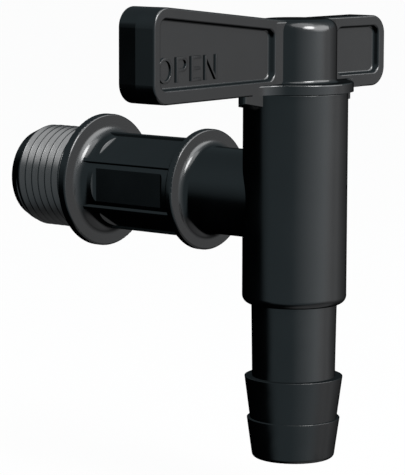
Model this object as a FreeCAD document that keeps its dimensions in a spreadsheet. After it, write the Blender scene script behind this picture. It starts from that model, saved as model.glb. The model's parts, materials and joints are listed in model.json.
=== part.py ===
import FreeCAD, Part
import math
import os
import re
import Sketcher

# Water butt tap: a moulded body with a threaded inlet and a barbed hose tail,
# and a lever moulded in one with the hollow plug that turns in the barrel.
# +Z is up, +X runs from the water butt to the barrel, and the origin is on the inlet's axis
# at the flange face that seals against the butt's wall. Sizes are in millimetres and degrees.

SIZES = [
    # Threaded inlet, flange, hexagon, collar and neck, all on the X axis
    ("thread_diameter", 20.955),
    ("thread_length", 17.0),
    ("lead_length", 3.0),
    ("lead_diameter", 18.4),
    ("relief_width", 1.7),
    ("relief_diameter", 18.4),
    ("inlet_bore", 12.4),
    ("flange_diameter", 27.16),
    ("flange_thickness", 2.0),
    ("flange_fillet", 2.2),
    ("rim_round", 0.4),
    ("tube_diameter", 18.45),
    ("hex_flats", 17.18),
    ("hex_margin", 3.1),
    ("hex_end_round", 1.0),
    ("rib_count", 6),
    ("rib_rise", 0.72),
    ("rib_width", 0.9),
    ("rib_round", 0.2),
    ("collar_place", 27.15),
    ("collar_diameter", 24.18),
    ("collar_thickness", 1.73),
    ("collar_fillet", 1.5),
    ("neck_diameter", 17.34),
    ("reach", 50.2),
    # Upright barrel and hose tail, heights and depths from the inlet's axis
    ("barrel_diameter", 20.35),
    ("barrel_rise", 20.55),
    ("barrel_drop", 20.6),
    ("barrel_round", 1.7),
    ("stem_top_diameter", 16.7),
    ("stem_end_diameter", 16.26),
    ("first_barb_drop", 34.95),
    ("first_barb_diameter", 19.24),
    ("first_barb_end_diameter", 17.04),
    ("second_barb_drop", 43.2),
    ("second_barb_diameter", 18.24),
    ("barb_crest_round", 0.08),
    ("tail_drop", 51.15),
    ("tail_end_diameter", 16.0),
    ("tail_round", 0.9),
    ("tail_bore", 12.4),
    ("barrel_bore", 16.3),
    ("barrel_bore_drop", 16.4),
    # Stop lugs on the barrel
    ("lug_count", 2),
    ("lug_width", 1.88),
    ("lug_reach", 15.6),
    ("lug_tip_height", 1.3),
    ("lug_root_height", 2.4),
    ("lug_slant", 0.7),
    ("lug_round", 0.5),
    # Lever: two wings, a round hub and a skirt over the barrel's rim
    ("rim_gap", 0.25),
    ("wing_root_thickness", 4.2),
    ("wing_taper", 2.7),
    ("long_reach", 47.0),
    ("long_tip_height", 17.93),
    ("long_root_height", 13.22),
    ("short_reach", 24.9),
    ("hub_height", 13.93),
    ("hub_diameter", 15.88),
    ("hub_round", 2.2),
    ("hub_fillet", 0.7),
    ("flare_turn", 4.3),
    ("flare_end", 4.5),
    ("flare_sink", 0.03),
    ("flare_drop", 0.25),
    ("wing_corner_round", 3.7),
    ("wing_edge_round", 0.35),
    ("panel_top_rim", 2.1),
    ("panel_low_rim", 2.65),
    ("panel_tip_rim", 1.92),
    ("panel_start", 9.95),
    ("panel_depth", 1.5),
    ("panel_corner_round", 1.6),
    ("panel_floor_round", 0.4),
    ("panel_edge_round", 0.35),
    ("skirt_diameter", 22.42),
    ("skirt_thickness", 1.85),
    ("skirt_edge_round", 0.3),
    ("skirt_blend", 6.0),
    ("blend_end", 17.0),
    # Quarter-turn stop under the skirt
    ("lever_turn", 90),
    ("stop_slack", 1.5),
    ("stop_thickness", 0.75),
    ("stop_drop", 1.6),
    # Hollow plug, its port and its two sealing rings
    ("plug_clearance", 0.08),
    ("plug_wall", 2.5),
    ("plug_seat_gap", 0.3),
    ("cavity_rise", 17.0),
    ("port_diameter", 10.4),
    ("ring_section", 1.38),
    ("ring_gap", 0.05),
    ("ring_seat_gap", 0.03),
    ("ring_groove_width", 1.8),
    ("upper_ring_rise", 10.5),
    ("lower_ring_drop", 9.4),
    # Snap bead that keeps the plug in the barrel
    ("bead_drop", 13.4),
    ("bead_height", 0.45),
    ("bead_length", 1.6),
    ("bead_gap", 0.3),
]
NAMES = {name for name, size in SIZES}
SHEET_NAME = "sizes"

doc = FreeCAD.newDocument("water_butt_tap")
sheet = doc.addObject("Spreadsheet::Sheet", SHEET_NAME)
for row, (name, size) in enumerate(SIZES, start=1):
    sheet.set(f"A{row}", name)
    sheet.set(f"B{row}", str(size))
    sheet.setAlias(f"B{row}", name)
doc.recompute()

# Sizes that follow from the ones above
LEVER_BASE = "(barrel_rise + rim_gap)"
SKIRT_TOP = f"({LEVER_BASE} + skirt_thickness)"
HUB_TOP = f"({LEVER_BASE} + hub_height)"
PLUG_RADIUS = "(barrel_bore / 2 - plug_clearance)"
PLUG_END = "(plug_seat_gap - barrel_bore_drop)"
RING_OUTER = "(barrel_bore / 2 - ring_gap)"
GROOVE_FLOOR = f"({RING_OUTER} - ring_section - ring_seat_gap)"
BEAD_RADIUS = f"({PLUG_RADIUS} + bead_height)"
LUG_ROOT = "(barrel_diameter + barrel_bore) / 4"
TINY = 1e-9
PAST = "barrel_rise"


def tied(expression):
    """The expression with each size read from the sheet."""
    def read(word):
        return f"{SHEET_NAME}.{word[0]}" if word[0] in NAMES else word[0]

    return re.sub(r"[a-z_]+", read, expression)


def number(expression):
    """What an expression of sizes comes to now."""
    return float(sheet.evalExpression(tied(expression)))


def bind(thing, **sizes):
    """Tie properties of an object to expressions of sizes."""
    for name, expression in sizes.items():
        thing.setExpression(name.replace("__", "."), tied(expression))


def origin_plane(body, role):
    return next(plane for plane in body.Origin.OriginFeatures if plane.Role == role)


def new_body(name):
    return doc.addObject("PartDesign::Body", name)


def attach(thing, body, role, **offset):
    """Lay a sketch or primitive on one of its body's origin planes, moved by tied offsets."""
    thing.AttachmentSupport = [(origin_plane(body, role), "")]
    thing.MapMode = "FlatFace"
    bind(thing, **{f"AttachmentOffset__Base__{axis}": shift for axis, shift in offset.items()})


def draw_outline(sketch, corners):
    """Close an outline through corners (across, up) or (across, up, round), all expressions of sizes."""
    count = len(corners)
    points = [FreeCAD.Vector(number(corner[0]), number(corner[1]), 0) for corner in corners]
    starts, ends, arcs = list(points), list(points), {}
    for i, corner in enumerate(corners):
        if len(corner) == 3:
            radius = number(corner[2])
            back = (points[i - 1] - points[i]).normalize()
            ahead = (points[(i + 1) % count] - points[i]).normalize()
            half = back.getAngle(ahead) / 2
            ends[i] = points[i] + back * (radius / math.tan(half))
            starts[i] = points[i] + ahead * (radius / math.tan(half))
            middle = points[i] + (back + ahead).normalize() * (radius / math.sin(half) - radius)
            # A sketch counts an arc's ends anticlockwise, so a right turn is drawn backwards
            left_turn = back.cross(ahead).z < 0
            arcs[i] = (ends[i], middle, starts[i]) if left_turn else (starts[i], middle, ends[i])
    constraints, ties = [], []

    def hold(kind, place, expression):
        ties.append((len(constraints), tied(expression)))
        constraints.append(Sketcher.Constraint(kind, *place, number(expression)))

    def hold_point(element, corner):
        for kind, axis, expression in (("DistanceX", -2, corner[0]), ("DistanceY", -1, corner[1])):
            if abs(number(expression)) < TINY:
                constraints.append(Sketcher.Constraint("PointOnObject", *element, axis))
            else:
                hold(kind, (-1, 1, *element), expression)

    sketch.addGeometry([Part.LineSegment(starts[i], ends[(i + 1) % count]) for i in range(count)])
    for i, corner in enumerate(corners):
        before = (i - 1) % count
        if i not in arcs:
            constraints.append(Sketcher.Constraint("Coincident", before, 2, i, 1))
            hold_point((i, 1), corner)
            continue
        arc = sketch.addGeometry(Part.Arc(*arcs[i]))
        mark = sketch.addGeometry(Part.Point(points[i]), True)
        first, last = (1, 2) if arcs[i][0] == ends[i] else (2, 1)
        hold_point((mark, 1), corner)
        constraints.append(Sketcher.Constraint("PointOnObject", mark, 1, before))
        constraints.append(Sketcher.Constraint("PointOnObject", mark, 1, i))
        constraints.append(Sketcher.Constraint("Tangent", before, 2, arc, first))
        constraints.append(Sketcher.Constraint("Tangent", i, 1, arc, last))
        hold("Radius", (arc,), corner[2])
    sketch.addConstraint(constraints)
    for index, expression in ties:
        sketch.setExpression(f"Constraints[{index}]", expression)


def new_sketch(body, name, role, corners, **offset):
    """A closed outline on one of the body's origin planes."""
    sketch = body.newObject("Sketcher::SketchObject", name)
    attach(sketch, body, role, **offset)
    draw_outline(sketch, corners)
    return sketch


def turn(body, name, sketch, axis, kind="PartDesign::Revolution"):
    """Spin an outline about one of its own axes, to add or to take away."""
    feature = body.newObject(kind, name)
    feature.Profile = sketch
    feature.ReferenceAxis = (sketch, [axis])
    feature.Angle = 360
    doc.recompute()
    return feature


def repeat_round(body, name, feature, axis, count):
    """Copy a feature evenly round an axis."""
    pattern = body.newObject("PartDesign::PolarPattern", name)
    pattern.Originals = [feature]
    pattern.Axis = axis
    pattern.Angle = 360
    bind(pattern, Occurrences=count)
    body.Tip = pattern
    doc.recompute()
    return pattern


def mirror(source, name, normal):
    """The mirror image of a piece, across a plane through the upright axis."""
    image = doc.addObject("Part::Mirroring", name)
    image.Source = source
    image.Normal = normal
    doc.recompute()
    return image


def spin(thing, angle):
    """Turn a piece about the upright axis by a tied angle in degrees."""
    thing.Placement.Rotation = FreeCAD.Rotation(Z_AXIS, number(angle))
    bind(thing, Placement__Rotation__Angle=f"({angle}) * 1 deg")
    doc.recompute()


def soften(body, name, radius, wanted):
    """Round the edges of the body so far that the test picks."""
    base = body.Tip
    picked = [f"Edge{i}" for i, edge in enumerate(base.Shape.Edges, start=1) if wanted(edge)]
    fillet = body.newObject("PartDesign::Fillet", name)
    fillet.Base = (base, picked)
    bind(fillet, Radius=radius)
    doc.recompute()
    return fillet


def runs_along(edge, axis):
    """Whether an edge is straight and parallel to an axis."""
    if edge.Curve.TypeId != "Part::GeomLine":
        return False
    return abs(abs(edge.Curve.Direction.dot(axis)) - 1) < TINY


X_AXIS = FreeCAD.Vector(1, 0, 0)
Y_AXIS = FreeCAD.Vector(0, 1, 0)
Z_AXIS = FreeCAD.Vector(0, 0, 1)
NEAR = 0.01


def make_tap_body():
    """The body moulding: barrel, hose tail, neck, collar, hexagon, flange and thread blank in one piece."""
    body = new_body("tap_body")
    upright = new_sketch(body, "upright_outline", "XZ_Plane", [
        ("0", "barrel_rise"),
        ("barrel_diameter / 2", "barrel_rise", "barb_crest_round"),
        ("barrel_diameter / 2", "-barrel_drop", "barrel_round"),
        ("stem_top_diameter / 2", "-barrel_drop"),
        ("stem_end_diameter / 2", "-first_barb_drop"),
        ("first_barb_diameter / 2", "-first_barb_drop", "barb_crest_round"),
        ("first_barb_end_diameter / 2", "-second_barb_drop"),
        ("second_barb_diameter / 2", "-second_barb_drop", "barb_crest_round"),
        ("tail_end_diameter / 2", "-tail_drop", "tail_round"),
        ("0", "-tail_drop"),
    ], x="reach")
    turn(body, "upright", upright, "V_Axis")
    collar_front = "collar_place + collar_thickness"
    inlet = new_sketch(body, "inlet_outline", "XZ_Plane", [
        ("-thread_length", "0"),
        ("-thread_length", "lead_diameter / 2"),
        ("lead_length - thread_length", "thread_diameter / 2"),
        ("-relief_width", "thread_diameter / 2"),
        ("-relief_width", "relief_diameter / 2"),
        ("0", "relief_diameter / 2"),
        ("0", "flange_diameter / 2", "rim_round"),
        ("flange_thickness", "flange_diameter / 2", "rim_round"),
        ("flange_thickness", "tube_diameter / 2", "flange_fillet"),
        ("collar_place", "tube_diameter / 2", "collar_fillet"),
        ("collar_place", "collar_diameter / 2", "rim_round"),
        (collar_front, "collar_diameter / 2", "rim_round"),
        (collar_front, "neck_diameter / 2", "collar_fillet"),
        ("reach", "neck_diameter / 2"),
        ("reach", "0"),
    ])
    turn(body, "inlet", inlet, "H_Axis")
    # Six flats for a spanner, milled into the tube with hollow ends between the flange and the collar
    outside = "-tube_diameter / 2 - hex_end_round"
    flat = new_sketch(body, "flat_outline", "XY_Plane", [
        ("flange_thickness + hex_margin", outside),
        ("flange_thickness + hex_margin", "-hex_flats / 2", "hex_end_round"),
        ("collar_place - hex_margin", "-hex_flats / 2", "hex_end_round"),
        ("collar_place - hex_margin", outside),
    ])
    first_flat = body.newObject("PartDesign::Pocket", "first_flat")
    first_flat.Profile = flat
    first_flat.Midplane = True
    bind(first_flat, Length="hex_flats / 2")
    doc.recompute()
    repeat_round(body, "flats", first_flat, (inlet, ["H_Axis"]), "rib_count")
    # A rib along each corner between the flats, from the flange to the collar
    rib_outline = new_sketch(body, "rib_outline", "YZ_Plane", [
        ("-rib_width / 2", "hex_flats / 2 - rib_rise"),
        ("rib_width / 2", "hex_flats / 2 - rib_rise"),
        ("rib_width / 2", "tube_diameter / 2 + rib_rise", "rib_round"),
        ("-rib_width / 2", "tube_diameter / 2 + rib_rise", "rib_round"),
    ], z="flange_thickness / 2")
    first_rib = body.newObject("PartDesign::Pad", "first_rib")
    first_rib.Profile = rib_outline
    bind(first_rib, Length="collar_place + (collar_thickness - flange_thickness) / 2")
    doc.recompute()
    repeat_round(body, "ribs", first_rib, (inlet, ["H_Axis"]), "rib_count")
    # The lug grows towards the barrel, and its underside slants across
    sections = []
    for place, depth, height in (
            ("tip", "lug_reach", "lug_tip_height"), ("root", LUG_ROOT, "lug_root_height")):
        sections.append(new_sketch(body, f"lug_{place}_outline", "XZ_Plane", [
            ("reach", "barrel_rise"),
            ("reach", f"barrel_rise - {height}"),
            ("reach - lug_width", f"barrel_rise - {height} - lug_slant"),
            ("reach - lug_width", "barrel_rise"),
        ], z=depth))
    lug = body.newObject("PartDesign::AdditiveLoft", "stop_lug")
    lug.Profile = sections[0]
    lug.Sections = sections[1:]
    lug.Ruled = True
    doc.recompute()
    repeat_round(body, "stop_lugs", lug, (upright, ["V_Axis"]), "lug_count")
    lug_tip = number("lug_reach")
    soften(body, "lug_corners", "lug_round", lambda edge: (
        runs_along(edge, Z_AXIS) and abs(abs(edge.CenterOfMass.y) - lug_tip) < NEAR))
    bore = new_sketch(body, "barrel_bore_outline", "XZ_Plane", [
        ("0", f"barrel_rise + {PAST}"),
        ("barrel_bore / 2", f"barrel_rise + {PAST}"),
        ("barrel_bore / 2", "bead_length / 2 + bead_gap - bead_drop"),
        (f"{BEAD_RADIUS} + bead_gap", "bead_length / 2 + bead_gap - bead_drop"),
        (f"{BEAD_RADIUS} + bead_gap", "-bead_length / 2 - bead_gap - bead_drop"),
        ("barrel_bore / 2", "-bead_length / 2 - bead_gap - bead_drop"),
        ("barrel_bore / 2", "-barrel_bore_drop"),
        ("tail_bore / 2", "-barrel_bore_drop"),
        ("tail_bore / 2", f"-tail_drop - {PAST}"),
        ("0", f"-tail_drop - {PAST}"),
    ], x="reach")
    turn(body, "barrel_bore_cut", bore, "V_Axis", "PartDesign::Groove")
    passage = new_sketch(body, "inlet_bore_outline", "XZ_Plane", [
        (f"-thread_length - {PAST}", "0"),
        (f"-thread_length - {PAST}", "inlet_bore / 2"),
        ("reach", "inlet_bore / 2"),
        ("reach", "0"),
    ])
    turn(body, "inlet_bore_cut", passage, "H_Axis", "PartDesign::Groove")
    return body


def make_half_wing(name, reach, tip_height, root_height):
    """The front half of a wing that points to -Y: a slab with a sunk panel, turned out by the taper."""
    body = new_body(name)
    length = f"({reach} * cos(wing_taper * 1 deg))"
    face = "(wing_root_thickness / 2 * cos(wing_taper * 1 deg))"
    panel_end = f"({length} - panel_tip_rim)"

    def top(along):
        return f"({LEVER_BASE} + {root_height} + ({tip_height} - {root_height}) * ({along}) / {length})"

    slab = body.newObject("PartDesign::AdditiveWedge", f"{name}_slab")
    attach(slab, body, "XY_Plane")
    bind(slab, Xmin=f"-{reach} * sin(wing_taper * 1 deg)", X2min="0", Xmax=face, X2max=face,
         Ymin=f"-{length}", Ymax="0",
         Zmin=LEVER_BASE, Z2min=LEVER_BASE, Zmax=top(length), Z2max=top("0"))
    doc.recompute()
    tip, face_place = -number(length), number(face)
    soften(body, f"{name}_tip_corners", "wing_corner_round", lambda edge: (
        runs_along(edge, X_AXIS) and abs(edge.CenterOfMass.y - tip) < NEAR))
    soften(body, f"{name}_outline", "wing_edge_round", lambda edge: (
        edge.BoundBox.XMin > face_place - NEAR and abs(edge.CenterOfMass.y) > NEAR))
    panel = body.newObject("PartDesign::SubtractiveWedge", f"{name}_panel")
    attach(panel, body, "XY_Plane")
    floor, above = f"{face} - panel_depth", f"{face} + panel_depth"
    low = f"{LEVER_BASE} + panel_low_rim"
    bind(panel, Ymin=f"-{panel_end}", Ymax="-panel_start", Xmin=floor, X2min=floor, Xmax=above, X2max=above,
         Zmin=low, Z2min=low,
         Zmax=f"{top(panel_end)} - panel_top_rim", Z2max=f"{top('panel_start')} - panel_top_rim")
    doc.recompute()
    ends = [-number(panel_end), -number("panel_start")]
    floor_place = number(floor)
    soften(body, f"{name}_panel_corners", "panel_corner_round", lambda edge: (
        runs_along(edge, X_AXIS) and min(abs(edge.CenterOfMass.y - end) for end in ends) < NEAR))

    def round_panel(edge, place):
        """Whether an edge of the panel lies flat at this distance from the wing's middle."""
        flat = max(abs(edge.BoundBox.XMin - place), abs(edge.BoundBox.XMax - place)) < NEAR
        return flat and ends[0] - NEAR < edge.BoundBox.YMin and edge.BoundBox.YMax < ends[1] + NEAR

    soften(body, f"{name}_panel_floor", "panel_floor_round", lambda edge: round_panel(edge, floor_place))
    soften(body, f"{name}_panel_edge", "panel_edge_round", lambda edge: round_panel(edge, face_place))
    spin(body, "wing_taper")
    return body


def make_spindle():
    """Hub, skirt disc and hollow plug of the lever, turned about the barrel's axis."""
    body = new_body("spindle")

    def groove(height):
        upper, lower = f"{height} + ring_groove_width / 2", f"{height} - ring_groove_width / 2"
        return [(PLUG_RADIUS, upper), (GROOVE_FLOOR, upper), (GROOVE_FLOOR, lower), (PLUG_RADIUS, lower)]

    outline = new_sketch(body, "spindle_outline", "XZ_Plane", [
        ("0", HUB_TOP),
        ("hub_diameter / 2", HUB_TOP, "hub_round"),
        ("hub_diameter / 2", SKIRT_TOP, "hub_fillet"),
        ("skirt_diameter / 2", SKIRT_TOP, "skirt_edge_round"),
        ("skirt_diameter / 2", LEVER_BASE),
        (PLUG_RADIUS, LEVER_BASE),
        *groove("upper_ring_rise"),
        *groove("-lower_ring_drop"),
        (PLUG_RADIUS, "bead_length / 2 - bead_drop"),
        (BEAD_RADIUS, "bead_length / 4 - bead_drop"),
        (BEAD_RADIUS, "-bead_drop"),
        (PLUG_RADIUS, "-bead_length / 2 - bead_drop"),
        (PLUG_RADIUS, PLUG_END),
        (f"{PLUG_RADIUS} - plug_wall", PLUG_END),
        (f"{PLUG_RADIUS} - plug_wall", "cavity_rise"),
        ("0", "cavity_rise"),
    ])
    turn(body, "spindle_turned", outline, "V_Axis")
    return body


def make_skirt_blend():
    """The skirt's rim where it runs out into the two wings with hollow curves."""
    body = new_body("skirt_blend")
    disc = body.newObject("PartDesign::AdditiveCylinder", "skirt_disc")
    attach(disc, body, "XY_Plane", z=LEVER_BASE)
    bind(disc, Radius="skirt_diameter / 2", Height="skirt_thickness")
    middle = "wing_root_thickness / 2"
    end = "(wing_root_thickness / 2 + blend_end * tan(wing_taper * 1 deg))"
    for name, low, high, first, last in (
            ("long_wing_root", "-blend_end", "0", end, middle),
            ("short_wing_root", "0", "blend_end", middle, end)):
        root = body.newObject("PartDesign::AdditiveWedge", name)
        attach(root, body, "XY_Plane")
        bind(root, Ymin=low, Ymax=high, Zmin=LEVER_BASE, Z2min=LEVER_BASE, Zmax=SKIRT_TOP, Z2max=SKIRT_TOP,
             Xmin=f"-{first}", Xmax=first, X2min=f"-{last}", X2max=last)
        doc.recompute()
    rim = number("skirt_diameter / 2")

    def at_rim(edge):
        return abs(math.hypot(edge.CenterOfMass.x, edge.CenterOfMass.y) - rim) < NEAR

    soften(body, "skirt_hollows", "skirt_blend", lambda edge: runs_along(edge, Z_AXIS) and at_rim(edge))
    upper = number(SKIRT_TOP)
    soften(body, "skirt_edge", "skirt_edge_round", lambda edge: (
        abs(edge.BoundBox.ZMin - upper) < NEAR and edge.Curve.TypeId == "Part::GeomCircle"))
    return body


def make_flare():
    """The wings' roots, which widen a little from the panels towards the hub."""
    body = new_body("hub_flare")
    start = "(panel_start - panel_edge_round)"
    low, high = f"{SKIRT_TOP} - skirt_thickness / 2", f"{HUB_TOP} - flare_drop"
    narrow = f"(wing_root_thickness / 2 + {start} * tan(wing_taper * 1 deg) - flare_sink)"
    wide = f"({narrow} + ({start} - flare_end) * tan(flare_turn * 1 deg))"
    for name, back, front, first, last in (
            ("long_wing_flare", f"-{start}", "-flare_end", narrow, wide),
            ("middle_of_flare", "-flare_end", "flare_end", wide, wide),
            ("short_wing_flare", "flare_end", start, wide, narrow)):
        root = body.newObject("PartDesign::AdditiveWedge", name)
        attach(root, body, "XY_Plane")
        bind(root, Ymin=back, Ymax=front, Zmin=low, Z2min=low, Zmax=high, Z2max=high,
             Xmin=f"-{first}", Xmax=first, X2min=f"-{last}", X2max=last)
        doc.recompute()
    upper = number(high)
    soften(body, "flare_edge", "wing_edge_round", lambda edge: (
        abs(edge.BoundBox.ZMin - upper) < NEAR and not runs_along(edge, X_AXIS)))
    return body


def make_stop():
    """The curved wall under the skirt that meets a lug at each end of the lever's quarter turn."""
    body = new_body("turn_stop")
    outline = new_sketch(body, "turn_stop_outline", "XZ_Plane", [
        ("skirt_diameter / 2 - stop_thickness", f"{LEVER_BASE} - stop_drop"),
        ("skirt_diameter / 2", f"{LEVER_BASE} - stop_drop"),
        ("skirt_diameter / 2", f"{LEVER_BASE} + skirt_thickness / 2"),
        ("skirt_diameter / 2 - stop_thickness", f"{LEVER_BASE} + skirt_thickness / 2"),
    ])
    wall = turn(body, "turn_stop_wall", outline, "V_Axis")
    lug_angle = "asin(2 * lug_width / (skirt_diameter - 2 * stop_thickness))"
    bind(wall, Angle=f"180 deg - {lug_angle} - (lever_turn + 2 * stop_slack) * 1 deg")
    doc.recompute()
    # The wall starts just past the hidden lug, a quarter turn round from +X
    spin(body, "lever_turn + stop_slack")
    return body


def make_lever():
    """The lever moulding: wings, hub, skirt, stop and plug in one, with the port cut through the plug."""
    long_half = make_half_wing("long_wing", "long_reach", "long_tip_height", "long_root_height")
    short_half = make_half_wing("short_wing", "short_reach", "hub_height", "hub_height")
    short_half = mirror(short_half, "short_wing_front", Y_AXIS)
    moulding = doc.addObject("Part::MultiFuse", "lever_moulding")
    moulding.Shapes = [
        make_spindle(),
        make_skirt_blend(),
        make_flare(),
        long_half,
        mirror(long_half, "long_wing_back", X_AXIS),
        short_half,
        mirror(short_half, "short_wing_back", X_AXIS),
        make_stop(),
    ]
    moulding.Refine = True
    port = doc.addObject("Part::Cylinder", "port")
    bind(port, Radius="port_diameter / 2", Height="barrel_bore / 2")
    port.Placement.Rotation = FreeCAD.Rotation(Z_AXIS, -X_AXIS)
    lever = doc.addObject("Part::Cut", "lever_handle")
    lever.Base = moulding
    lever.Tool = port
    bind(lever, Placement__Base__x="reach")
    doc.recompute()
    return lever


def make_ring(name, height):
    """A sealing ring in one of the plug's grooves."""
    ring = doc.addObject("Part::Torus", name)
    bind(ring, Radius1=f"{RING_OUTER} - ring_section / 2", Radius2="ring_section / 2",
         Placement__Base__x="reach", Placement__Base__z=height)
    doc.recompute()
    return ring


def check_and_write(nodes):
    """Stop on any failed object, then write each piece to its own file."""
    doc.recompute()
    failed = [thing.Name for thing in doc.Objects if {"Invalid", "Error"} & set(thing.State)]
    if failed:
        raise RuntimeError(f"failed objects: {failed}")
    for node in nodes:
        if node.Shape.isNull() or not node.Shape.isValid():
            raise RuntimeError(f"bad shape: {node.Label}")
    os.makedirs("parts", exist_ok=True)
    for node in nodes:
        node.Shape.exportStep(f"parts/{node.Label}.step")
        print(node.Label, len(node.Shape.Solids), round(node.Shape.Volume, 1), node.Shape.BoundBox)


pieces = [
    make_tap_body(),
    make_lever(),
    make_ring("upper_ring", "upper_ring_rise"),
    make_ring("lower_ring", "-lower_ring_drop"),
]
for piece in pieces:
    piece.Label = piece.Name
check_and_write(pieces)
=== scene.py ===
import json
import math

import bmesh
import bpy
from mathutils import Matrix, Vector


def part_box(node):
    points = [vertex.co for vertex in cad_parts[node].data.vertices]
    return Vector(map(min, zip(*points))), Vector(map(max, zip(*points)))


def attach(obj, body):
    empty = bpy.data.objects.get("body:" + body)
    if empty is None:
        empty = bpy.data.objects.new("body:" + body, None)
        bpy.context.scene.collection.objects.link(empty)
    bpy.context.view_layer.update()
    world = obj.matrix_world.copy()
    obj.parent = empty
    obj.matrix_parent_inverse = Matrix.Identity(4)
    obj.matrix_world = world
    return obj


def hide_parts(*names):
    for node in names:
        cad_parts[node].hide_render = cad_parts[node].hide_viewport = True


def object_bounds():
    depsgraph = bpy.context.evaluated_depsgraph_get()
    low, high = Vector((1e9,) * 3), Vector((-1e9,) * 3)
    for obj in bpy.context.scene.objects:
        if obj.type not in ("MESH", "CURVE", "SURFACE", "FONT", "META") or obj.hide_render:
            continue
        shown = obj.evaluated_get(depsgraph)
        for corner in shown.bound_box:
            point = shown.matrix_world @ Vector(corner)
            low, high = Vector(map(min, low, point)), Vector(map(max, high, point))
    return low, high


# Water butt tap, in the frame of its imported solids: +Z up, +X from the butt to the barrel,
# origin on the inlet's axis at the flange that seals against the butt. Lengths are in metres.
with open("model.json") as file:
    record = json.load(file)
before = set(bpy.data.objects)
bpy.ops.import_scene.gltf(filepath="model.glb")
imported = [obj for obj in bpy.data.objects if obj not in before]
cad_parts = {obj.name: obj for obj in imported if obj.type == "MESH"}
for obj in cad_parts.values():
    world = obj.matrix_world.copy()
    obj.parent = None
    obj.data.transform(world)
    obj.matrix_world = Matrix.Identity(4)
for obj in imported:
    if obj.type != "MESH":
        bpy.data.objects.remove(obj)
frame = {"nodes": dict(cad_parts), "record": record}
cad_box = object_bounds()
scene = bpy.context.scene

# Body: one black polypropylene moulding, from the threaded inlet to the barbed hose tail.
# Its half inch pipe thread is formed by the mould's split halves, in the standard 55 degree form
# with rounded crests and roots; it starts after a plain lead cone and runs out in the relief.
MM = 0.001
THREAD_PITCH = 1.814 * MM
THREAD_ROUND = 0.2 * MM
FLANK_TURN = math.radians(62.5)
SHARP_DEPTH = THREAD_PITCH / 2 * math.tan(FLANK_TURN)
THREAD_DEPTH = SHARP_DEPTH - 2 * THREAD_ROUND * (1 / math.cos(FLANK_TURN) - 1)
CREST_LAND = math.radians(15)
ARC_STEPS = 5
STEPS_PER_TURN = 90
THREAD_OVERSHOOT = 0.15 * MM
THREAD_START = 2.14 * MM
THREAD_ENTRY = math.radians(150)
THREAD_RUNIN = 0.25
THREAD_END = -0.92 * MM
WELD_REACH = 0.001 * MM
SHARP_FROM = math.radians(19)
PLASTIC_SHINE = 1.75
DEEP_BLACK, CLOUDED_BLACK = (0.0016, 0.0017, 0.0019), (0.0030, 0.0031, 0.0034)
CLOUD_SIZE, CLOUD_DETAIL = 9 * MM, 5
CLOUD_RANGE = (0.35, 0.65)
GLOSS_RANGE = (0.3, 0.7)
GRAIN_STRENGTH, GRAIN_DEPTH, GRAIN_DETAIL = 0.12, 0.004 * MM, 3
BODY_GLOSS, BODY_GRAIN = (0.17, 0.23), 0.3 * MM

thread_mount = next(m for m in frame["record"]["mounts"] if m["name"] == "inlet_thread")
thread_radius = thread_mount["dims"]["r_mm"] * MM
inlet_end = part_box("tap_body")[0][0]


def thread_groove():
    """Section of the groove between two crests, as (along, radius) points."""
    root, crest = thread_radius - THREAD_DEPTH, thread_radius
    side = []
    for step in range(ARC_STEPS + 1):
        angle = FLANK_TURN * step / ARC_STEPS
        side.append((THREAD_ROUND * math.sin(angle), root + THREAD_ROUND * (1 - math.cos(angle))))
    for step in range(ARC_STEPS + 1):
        angle = FLANK_TURN + (CREST_LAND - FLANK_TURN) * step / ARC_STEPS
        along = THREAD_PITCH / 2 - THREAD_ROUND * math.sin(angle)
        side.append((along, crest - THREAD_ROUND * (1 - math.cos(angle))))
    side.append((side[-1][0], crest + THREAD_OVERSHOOT))
    return [(-along, radius) for along, radius in reversed(side[1:])] + side


def wind_groove(name, start, end, section):
    """The groove's section wound right-handed about the inlet's axis, as a closed mesh."""
    coil = bmesh.new()
    rings = []
    for step in range(int((end - start) / THREAD_PITCH * STEPS_PER_TURN) + 1):
        turn = THREAD_ENTRY + 2 * math.pi * step / STEPS_PER_TURN
        middle = start + THREAD_PITCH * step / STEPS_PER_TURN
        lift = max(0, 1 - step / (THREAD_RUNIN * STEPS_PER_TURN)) * (THREAD_DEPTH + THREAD_OVERSHOOT)
        ring = []
        for along, radius in section:
            across, up = (radius + lift) * math.cos(turn), (radius + lift) * math.sin(turn)
            ring.append(coil.verts.new((middle + along, across, up)))
        rings.append(ring)
    for ring, following in zip(rings, rings[1:]):
        for i in range(len(section)):
            j = (i + 1) % len(section)
            coil.faces.new((ring[i], ring[j], following[j], following[i]))
    coil.faces.new(rings[0])
    coil.faces.new(reversed(rings[-1]))
    bmesh.ops.recalc_face_normals(coil, faces=coil.faces)
    mesh = bpy.data.meshes.new(name)
    coil.to_mesh(mesh)
    coil.free()
    return bpy.data.objects.new(name, mesh)


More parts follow.
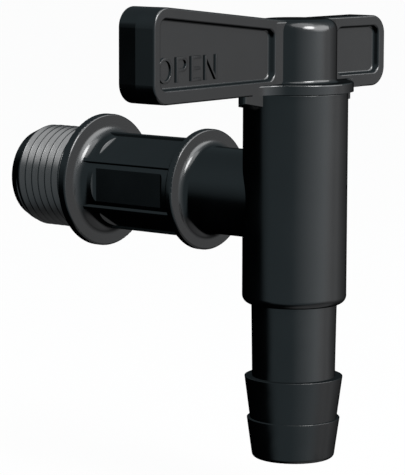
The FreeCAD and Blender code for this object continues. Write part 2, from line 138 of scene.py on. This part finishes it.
def moulded_black(name, sheen, grain_size):
    """Black plastic from the mould: faint clouding, uneven gloss and a fine grain."""
    material = bpy.data.materials.new(name)
    material.use_nodes = True
    nodes, links = material.node_tree.nodes, material.node_tree.links
    shader = nodes["Principled BSDF"]
    shader.inputs["IOR"].default_value = PLASTIC_SHINE
    place = nodes.new("ShaderNodeTexCoord")
    cloud = nodes.new("ShaderNodeTexNoise")
    cloud.inputs["Scale"].default_value = 1 / CLOUD_SIZE
    cloud.inputs["Detail"].default_value = CLOUD_DETAIL
    tint = nodes.new("ShaderNodeValToRGB")
    for element, position, colour in zip(
            tint.color_ramp.elements, CLOUD_RANGE, (DEEP_BLACK, CLOUDED_BLACK)):
        element.position = position
        element.color = (*colour, 1)
    gloss = nodes.new("ShaderNodeMapRange")
    gloss.inputs["From Min"].default_value = GLOSS_RANGE[0]
    gloss.inputs["From Max"].default_value = GLOSS_RANGE[1]
    gloss.inputs["To Min"].default_value = sheen[0]
    gloss.inputs["To Max"].default_value = sheen[1]
    grain = nodes.new("ShaderNodeTexNoise")
    grain.inputs["Scale"].default_value = 1 / grain_size
    grain.inputs["Detail"].default_value = GRAIN_DETAIL
    relief = nodes.new("ShaderNodeBump")
    relief.inputs["Strength"].default_value = GRAIN_STRENGTH
    relief.inputs["Distance"].default_value = GRAIN_DEPTH
    links.new(place.outputs["Object"], cloud.inputs["Vector"])
    links.new(place.outputs["Object"], grain.inputs["Vector"])
    links.new(cloud.outputs["Fac"], tint.inputs["Fac"])
    links.new(cloud.outputs["Fac"], gloss.inputs["Value"])
    links.new(grain.outputs["Fac"], relief.inputs["Height"])
    links.new(tint.outputs["Color"], shader.inputs["Base Color"])
    links.new(gloss.outputs["Result"], shader.inputs["Roughness"])
    links.new(relief.outputs["Normal"], shader.inputs["Normal"])
    return material


def weld(mesh):
    """Join points that lie on top of each other and turn all faces outward."""
    cleaning = bmesh.new()
    cleaning.from_mesh(mesh)
    bmesh.ops.remove_doubles(cleaning, verts=cleaning.verts, dist=WELD_REACH)
    bmesh.ops.recalc_face_normals(cleaning, faces=cleaning.faces)
    cleaning.to_mesh(mesh)
    cleaning.free()


def smooth(mesh):
    """Shade round faces smooth and keep the corners crisp."""
    mesh.polygons.foreach_set("use_smooth", [True] * len(mesh.polygons))
    mesh.set_sharp_from_angle(angle=SHARP_FROM)


body_moulding = frame["nodes"]["tap_body"].copy()
body_moulding.data = body_moulding.data.copy()
body_moulding.name = "body_moulding"
scene.collection.objects.link(body_moulding)
body_moulding.data.attributes.remove(body_moulding.data.attributes["custom_normal"])
groove = wind_groove("thread_groove", inlet_end + THREAD_START, THREAD_END, thread_groove())
scene.collection.objects.link(groove)
cut = body_moulding.modifiers.new("thread", "BOOLEAN")
cut.object = groove
cut.solver = "EXACT"
bpy.context.view_layer.objects.active = body_moulding
bpy.ops.object.modifier_apply(modifier=cut.name)
bpy.data.objects.remove(groove)
weld(body_moulding.data)
smooth(body_moulding.data)
even = body_moulding.modifiers.new("even_shading", "WEIGHTED_NORMAL")
even.keep_sharp = True
body_plastic = moulded_black("body_polypropylene", BODY_GLOSS, BODY_GRAIN)
body_moulding.data.materials.clear()
body_moulding.data.materials.append(body_plastic)
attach(body_moulding, "body")
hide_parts("tap_body")
# The plastic mirrors only the studio, as in the photograph, not the tap's other faces
body_moulding.visible_glossy = False

# Lever: a second black moulding, with two tapered wings, hub, skirt and hollow plug in one.
# It snaps into the barrel from above and turns there through a quarter turn.
# Its plastic is a touch glossier than the body's.
LEVER_GLOSS, LEVER_GRAIN = (0.16, 0.21), 0.25 * MM
lever = frame["nodes"]["lever_handle"]
lever_plastic = moulded_black("lever_polypropylene", LEVER_GLOSS, LEVER_GRAIN)
lever.data.materials.clear()
lever.data.materials.append(lever_plastic)
lever.visible_glossy = False

# Raised word on the long wing: four thin plain capitals cut into the mould, so that they stand
# proud of the sunk panel's floor and read from the hub's side with the wing across the pipe.
CAP_HEIGHT = 4.6 * MM
STROKE = 0.54 * MM
WORD_BASE = 24.6 * MM
LETTER_RISE = 0.55 * MM
LETTER_SINK = 0.1 * MM
LETTER_EDGE = 0.06 * MM
WING_TAPER = math.radians(2.7)
PANEL_FLOOR = 0.598 * MM
CURVE_STEPS = 24


def arc(middle, radii, start, end):
    """Points on part of an ellipse, with angles in degrees."""
    points = []
    for step in range(CURVE_STEPS + 1):
        angle = math.radians(start + (end - start) * step / CURVE_STEPS)
        points.append((middle[0] + radii[0] * math.cos(angle), middle[1] + radii[1] * math.sin(angle)))
    return points


def letter_o(width):
    overshoot = STROKE / 8
    middle, half = (width / 2, CAP_HEIGHT / 2), (width / 2, CAP_HEIGHT / 2 + overshoot)
    inner = (half[0] - STROKE, half[1] - STROKE)
    return [arc(middle, half, 0, 360)[:-1], arc(middle, inner, 0, 360)[:-1]]


def letter_p(width):
    waist = 0.42 * CAP_HEIGHT
    half = (CAP_HEIGHT - waist) / 2
    middle = (width - half, waist + half)
    inner = half - STROKE
    stem = [(0, CAP_HEIGHT), (0, 0), (STROKE, 0), (STROKE, waist)]
    hole = [(STROKE, CAP_HEIGHT - STROKE), (STROKE, waist + STROKE)]
    return [stem + arc(middle, (half, half), -90, 90), hole + arc(middle, (inner, inner), -90, 90)]


def letter_e(width):
    middle, short = CAP_HEIGHT / 2, 0.92 * width
    return [[
        (0, 0), (width, 0), (width, STROKE), (STROKE, STROKE),
        (STROKE, middle - STROKE / 2), (short, middle - STROKE / 2),
        (short, middle + STROKE / 2), (STROKE, middle + STROKE / 2),
        (STROKE, CAP_HEIGHT - STROKE), (width, CAP_HEIGHT - STROKE), (width, CAP_HEIGHT), (0, CAP_HEIGHT),
    ]]


def letter_n(width):
    lean = 1.3 * STROKE
    return [[
        (0, 0), (STROKE, 0), (STROKE, CAP_HEIGHT - lean), (width - STROKE, 0), (width, 0),
        (width, CAP_HEIGHT), (width - STROKE, CAP_HEIGHT), (width - STROKE, lean), (STROKE, CAP_HEIGHT),
        (0, CAP_HEIGHT),
    ]]


# Each capital starts this far along the wing, measured from the lever's axis
WORD = [
    (letter_o, -44.5 * MM, 4.2 * MM),
    (letter_p, -39.2 * MM, 3.4 * MM),
    (letter_e, -34.75 * MM, 3.0 * MM),
    (letter_n, -30.6 * MM, 3.75 * MM),
]
strokes = bpy.data.curves.new("raised_word", "CURVE")
strokes.dimensions = "2D"
strokes.fill_mode = "BOTH"
strokes.extrude = (LETTER_RISE + LETTER_SINK) / 2 - LETTER_EDGE
strokes.bevel_depth = LETTER_EDGE
strokes.bevel_resolution = 2
strokes.offset = -LETTER_EDGE
for letter, start, width in WORD:
    for outline in letter(width):
        line = strokes.splines.new("POLY")
        line.points.add(len(outline) - 1)
        for point, (across, up) in zip(line.points, outline):
            point.co = (start + across, WORD_BASE + up, 0, 1)
        line.use_cyclic_u = True
word_curve = bpy.data.objects.new("word_curve", strokes)
scene.collection.objects.link(word_curve)
view = bpy.context.evaluated_depsgraph_get()
word_mesh = bpy.data.meshes.new_from_object(word_curve.evaluated_get(view))
bpy.data.objects.remove(word_curve)
weld(word_mesh)
raised_word = bpy.data.objects.new("raised_word", word_mesh)
scene.collection.objects.link(raised_word)
lever_joint = next(j for j in frame["record"]["behaviour"]["joints"] if j["name"] == "lever_turn")
along = Vector((-math.sin(WING_TAPER), math.cos(WING_TAPER), 0))
outward = Vector((math.cos(WING_TAPER), math.sin(WING_TAPER), 0))
stand = Matrix((along, Vector((0, 0, 1)), outward)).transposed().to_4x4()
middle_height = PANEL_FLOOR + (LETTER_RISE - LETTER_SINK) / 2
word_mesh.transform(Matrix.Translation(Vector(lever_joint["pos_m"]) + outward * middle_height) @ stand)
smooth(word_mesh)
word_mesh.materials.append(lever_plastic)
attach(raised_word, "lever")
raised_word.visible_glossy = False

# Sealing rings: two soft nitrile rubber rings stretched into the grooves of the plug.
# They stay out of sight inside the barrel until the lever is lifted out; the rubber is matt,
# slightly brownish black with a bloom of talc left from the press.
RUBBER_BLACK, RUBBER_BLOOM = (0.013, 0.012, 0.011), (0.045, 0.044, 0.042)
BLOOM_SIZE, BLOOM_DETAIL = 1.2 * MM, 6
BLOOM_RANGE = (0.45, 0.8)
RUBBER_ROUGHNESS = 0.62
ring_rubber = bpy.data.materials.new("nitrile_rubber")
ring_rubber.use_nodes = True
nodes, links = ring_rubber.node_tree.nodes, ring_rubber.node_tree.links
shader = nodes["Principled BSDF"]
shader.inputs["Roughness"].default_value = RUBBER_ROUGHNESS
place = nodes.new("ShaderNodeTexCoord")
bloom = nodes.new("ShaderNodeTexNoise")
bloom.inputs["Scale"].default_value = 1 / BLOOM_SIZE
bloom.inputs["Detail"].default_value = BLOOM_DETAIL
tint = nodes.new("ShaderNodeValToRGB")
for element, position, colour in zip(tint.color_ramp.elements, BLOOM_RANGE, (RUBBER_BLACK, RUBBER_BLOOM)):
    element.position = position
    element.color = (*colour, 1)
links.new(place.outputs["Object"], bloom.inputs["Vector"])
links.new(bloom.outputs["Fac"], tint.inputs["Fac"])
links.new(tint.outputs["Color"], shader.inputs["Base Color"])
for ring_name in ("upper_ring", "lower_ring"):
    ring = frame["nodes"][ring_name]
    ring.data.materials.clear()
    ring.data.materials.append(ring_rubber)

# Floor: a plain pale sheet a little below the hose tail. The camera sees it as the white of the
# photograph with the tap's faint shadow on it; the glossy plastic sees the studio past it.
FLOOR_DROP = 9 * MM
FLOOR_SPAN = 3.0
FLOOR_PALE = (0.9, 0.9, 0.9, 1)
FLOOR_WHITE_SHARE = 0.96
low = cad_box[0][2] - FLOOR_DROP
corners = [(x * FLOOR_SPAN, y * FLOOR_SPAN, low) for x, y in ((-1, -1), (1, -1), (1, 1), (-1, 1))]
floor_mesh = bpy.data.meshes.new("floor")
floor_mesh.from_pydata(corners, [], [(0, 1, 2, 3)])
floor = bpy.data.objects.new("floor", floor_mesh)
scene.collection.objects.link(floor)
pale_floor = bpy.data.materials.new("pale_floor")
pale_floor.use_nodes = True
nodes, links = pale_floor.node_tree.nodes, pale_floor.node_tree.links
nodes.clear()
output = nodes.new("ShaderNodeOutputMaterial")
clear = nodes.new("ShaderNodeBsdfTransparent")
pale = nodes.new("ShaderNodeBsdfDiffuse")
pale.inputs["Color"].default_value = FLOOR_PALE
white = nodes.new("ShaderNodeEmission")
white.inputs["Strength"].default_value = 1.0
shadowed = nodes.new("ShaderNodeMixShader")
shadowed.inputs["Fac"].default_value = FLOOR_WHITE_SHARE
seen = nodes.new("ShaderNodeMixShader")
path = nodes.new("ShaderNodeLightPath")
links.new(pale.outputs["BSDF"], shadowed.inputs[1])
links.new(white.outputs["Emission"], shadowed.inputs[2])
links.new(path.outputs["Is Camera Ray"], seen.inputs["Fac"])
links.new(clear.outputs["BSDF"], seen.inputs[1])
links.new(shadowed.outputs["Shader"], seen.inputs[2])
links.new(seen.outputs["Shader"], output.inputs["Surface"])
floor_mesh.materials.append(pale_floor)

# Studio: an even dim cloth tent over and in front of the tap, a long bright panel wall to the
# camera's right, a little bounce from below it, and oval soft boxes above and at the right.
# The camera itself sees plain white behind the tap.
TO_CAMERA = (0.638, -0.770, 0)
TO_RIGHT = (0.770, 0.638, 0)
TENT_LIGHT = 0.24
WALL_LIGHT = 0.83
BOUNCE_LIGHT = 0.28
CLOTH_COLOUR = (0.76, 1.0, 1.1, 1)
PANEL_COLOUR = (0.98, 1.0, 1.02, 1)
# Each fade runs between two heights or directions, from dark to light
ROOF_FADE, FRONT_FADE = (0.12, 0.35), (0.0, 0.4)
WALL_FADE, BOUNCE_FADE = (-0.8, -0.02), (0.78, 0.95)
ROOF_BEHIND, ROOF_BEFORE = (-1, 0.3), (0.1, 1)
FRONT_LIFT = 0.6
BOUNCE_RIGHT, BOUNCE_DOWN = 0.45, -0.89
# The wall's level at bearings right of the camera, in degrees
WALL_BEARINGS = [
    (-6, 0.0), (62, 0.82), (76, 0.92), (84, 0.88), (92, 0.66),
    (100, 0.68), (107, 0.6), (113, 0.4), (130, 0.17), (158, 0.0),
]
world = bpy.data.worlds.new("studio")
scene.world = world
world.use_nodes = True
nodes, links = world.node_tree.nodes, world.node_tree.links
nodes.clear()
direction = nodes.new("ShaderNodeTexCoord")


def towards(vector):
    """How far a ray points along a vector."""
    dot = nodes.new("ShaderNodeVectorMath")
    dot.operation = "DOT_PRODUCT"
    dot.inputs[1].default_value = vector
    links.new(direction.outputs["Generated"], dot.inputs[0])
    return dot.outputs["Value"]


def fade(value, span, strength):
    """Light that comes up softly between two values."""
    ramp = nodes.new("ShaderNodeMapRange")
    ramp.interpolation_type = "SMOOTHSTEP"
    for socket, setting in zip(("From Min", "From Max", "To Min", "To Max"), (*span, 0, strength)):
        ramp.inputs[socket].default_value = setting
    links.new(value, ramp.inputs["Value"])
    return ramp.outputs["Result"]


def slope(value, start, end):
    """Light that changes evenly from one (value, level) to another."""
    ramp = nodes.new("ShaderNodeMapRange")
    for socket, setting in zip(("From Min", "To Min", "From Max", "To Max"), (*start, *end)):
        ramp.inputs[socket].default_value = setting
    links.new(value, ramp.inputs["Value"])
    return ramp.outputs["Result"]


def combine(operation, first, second):
    """Two values joined by one step of arithmetic."""
    step = nodes.new("ShaderNodeMath")
    step.operation = operation
    links.new(first, step.inputs[0])
    links.new(second, step.inputs[1])
    return step.outputs["Value"]


front, right, up = towards(TO_CAMERA), towards(TO_RIGHT), towards((0, 0, 1))
facing = towards((TO_CAMERA[0], TO_CAMERA[1], FRONT_LIFT))
roof = combine("MULTIPLY", fade(up, ROOF_FADE, TENT_LIGHT), slope(front, ROOF_BEHIND, ROOF_BEFORE))
tent = combine("MAXIMUM", roof, fade(facing, FRONT_FADE, TENT_LIGHT))
around = nodes.new("ShaderNodeMapRange")
around.inputs["From Min"].default_value = -math.pi
around.inputs["From Max"].default_value = math.pi
links.new(combine("ARCTAN2", right, front), around.inputs["Value"])
wall = nodes.new("ShaderNodeValToRGB")
while len(wall.color_ramp.elements) < len(WALL_BEARINGS):
    wall.color_ramp.elements.new(0.5)
for element, (degrees, level) in zip(wall.color_ramp.elements, WALL_BEARINGS):
    element.position = (degrees + 180) / 360
    element.color = (level, level, level, 1)
links.new(around.outputs["Result"], wall.inputs["Fac"])
wall_glow = combine("MULTIPLY", wall.outputs["Color"], fade(up, WALL_FADE, WALL_LIGHT))
below = towards((BOUNCE_RIGHT * TO_RIGHT[0], BOUNCE_RIGHT * TO_RIGHT[1], BOUNCE_DOWN))
glow = combine("MAXIMUM", wall_glow, fade(below, BOUNCE_FADE, BOUNCE_LIGHT))
cloth = nodes.new("ShaderNodeBackground")
cloth.inputs["Color"].default_value = CLOTH_COLOUR
links.new(tent, cloth.inputs["Strength"])
panel = nodes.new("ShaderNodeBackground")
panel.inputs["Color"].default_value = PANEL_COLOUR
links.new(glow, panel.inputs["Strength"])
surround = nodes.new("ShaderNodeAddShader")
links.new(cloth.outputs["Background"], surround.inputs[0])
links.new(panel.outputs["Background"], surround.inputs[1])
backdrop = nodes.new("ShaderNodeBackground")
backdrop.inputs["Color"].default_value = (1, 1, 1, 1)
behind = nodes.new("ShaderNodeMixShader")
path = nodes.new("ShaderNodeLightPath")
output = nodes.new("ShaderNodeOutputWorld")
links.new(path.outputs["Is Camera Ray"], behind.inputs["Fac"])
links.new(surround.outputs["Shader"], behind.inputs[1])
links.new(backdrop.outputs["Background"], behind.inputs[2])
links.new(behind.outputs["Shader"], output.inputs["Surface"])

STUDIO_CENTRE = Vector((35 * MM, 0, 0))
LAMP_DISTANCE = 0.7
# Each soft box: bearing right of the camera and elevation in degrees, width, height, watts
SOFT_BOXES = [
    ("key", 40, 38, 0.3, 0.3, 2.8),
    ("upper_right", 73, 28.5, 0.84, 0.64, 1.6),
    ("upper_right_core", 74, 27, 0.8, 0.4, 1.15),
    ("overhead", 30, 64, 0.6, 0.6, 1.4),
]
for name, bearing, elevation, width, height, power in SOFT_BOXES:
    lamp = bpy.data.lights.new(name, "AREA")
    lamp.shape = "ELLIPSE"
    lamp.size, lamp.size_y = width, height
    lamp.energy = power
    turn, rise = math.radians(bearing), math.radians(elevation)
    flat = Vector(TO_CAMERA) * math.cos(turn) + Vector(TO_RIGHT) * math.sin(turn)
    towards_lamp = flat * math.cos(rise) + Vector((0, 0, math.sin(rise)))
    lamp_object = bpy.data.objects.new(name, lamp)
    lamp_object.location = STUDIO_CENTRE + towards_lamp * LAMP_DISTANCE
    lamp_object.rotation_euler = towards_lamp.to_track_quat("Z", "Y").to_euler()
    scene.collection.objects.link(lamp_object)

# Camera: stands where the photograph was taken, a little above the tap, with its long lens.
# The place, angles and focal length were fitted to the tap's axes and outlines.
PHOTO_HEIGHT = 475
SENSOR_WIDTH = 36
NEAREST_SEEN = 0.01
FOCAL_PIXELS = 2527.22
CAMERA_PLACE = (347.1 * MM, -386.7 * MM, 57.95 * MM)
CAMERA_TURN, CAMERA_PITCH, CAMERA_ROLL = 39.62, 7.69, 0.16
lens = bpy.data.cameras.new("camera")
lens.sensor_width = SENSOR_WIDTH
lens.lens = FOCAL_PIXELS * SENSOR_WIDTH / PHOTO_HEIGHT
lens.clip_start = NEAREST_SEEN
camera = bpy.data.objects.new("camera", lens)
camera.matrix_world = (
    Matrix.Translation(CAMERA_PLACE)
    @ Matrix.Rotation(math.radians(CAMERA_TURN), 4, "Z")
    @ Matrix.Rotation(math.radians(90 - CAMERA_PITCH), 4, "X")
    @ Matrix.Rotation(math.radians(CAMERA_ROLL), 4, "Z"))
scene.collection.objects.link(camera)
scene.camera = camera
scene.view_settings.view_transform = "Standard"
